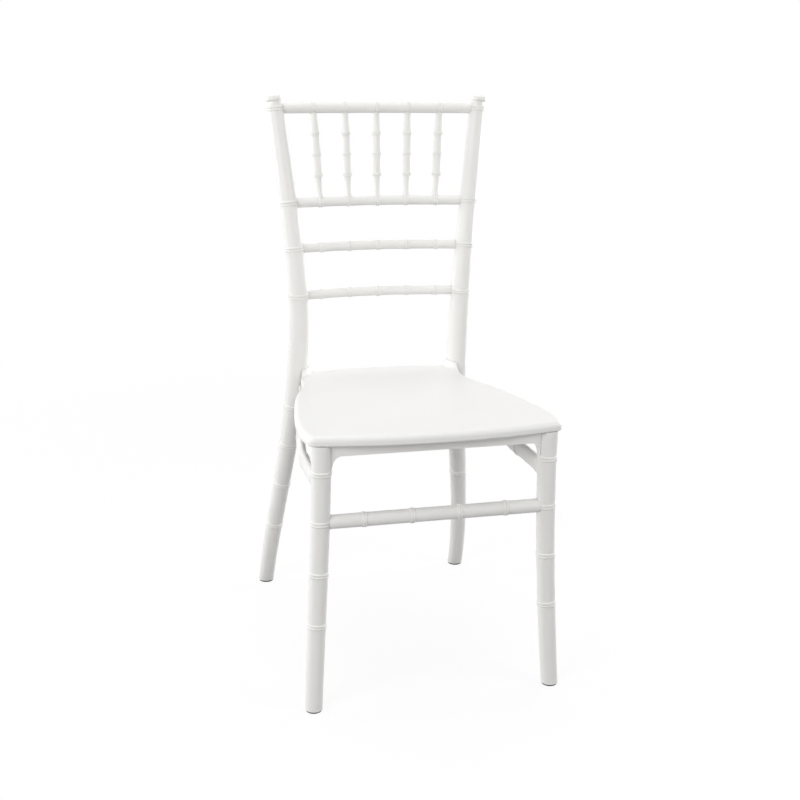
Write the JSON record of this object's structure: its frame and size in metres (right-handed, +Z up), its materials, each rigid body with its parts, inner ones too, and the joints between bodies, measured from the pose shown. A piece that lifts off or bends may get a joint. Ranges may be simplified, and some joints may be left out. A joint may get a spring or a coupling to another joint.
{
  "type": "chiavari chair",
  "caption": "White moulded chiavari dining chair with ringed posts, a spindled open back, bowed cross rails, a contoured seat and splayed rear legs.",
  "frame": {"origin": "on the floor under the centre of the chair's bounding box", "axes": "+Z up, the seat's front edge and the sitter face -Y, +X is the sitter's left and the right of a viewer in front; left and right in node names are the viewer's"},
  "size_m": [0.4188, 0.5438, 0.92],
  "materials": {
    "moulded_white": "satin moulded polypropylene",
    "seat_white": "satin moulded polypropylene with a very fine grain",
    "glide_black": "hard black nylon",
    "zinc_screw": "zinc plated"
  },
  "bodies": {
    "root": {"back_post_left": "moulded_white", "back_post_right": "moulded_white", "top_rail": "moulded_white", "cross_rail_upper": "moulded_white", "cross_rail_middle": "moulded_white", "cross_rail_lower": "moulded_white", "spindle_1": "moulded_white", "spindle_2": "moulded_white", "spindle_3": "moulded_white", "spindle_4": "moulded_white", "spindle_5": "moulded_white", "front_leg_left": "moulded_white", "front_leg_right": "moulded_white", "front_stretcher": "moulded_white", "front_apron": "moulded_white", "rear_apron": "moulded_white", "side_apron_left": "moulded_white", "side_apron_right": "moulded_white", "side_brace_left": "moulded_white", "side_brace_right": "moulded_white", "seat_panel": "seat_white", "seat_screws": "zinc_screw", "foot_glide_front_left": "glide_black", "foot_glide_front_right": "glide_black", "foot_glide_rear_left": "glide_black", "foot_glide_rear_right": "glide_black"}
  },
  "joints": []
}
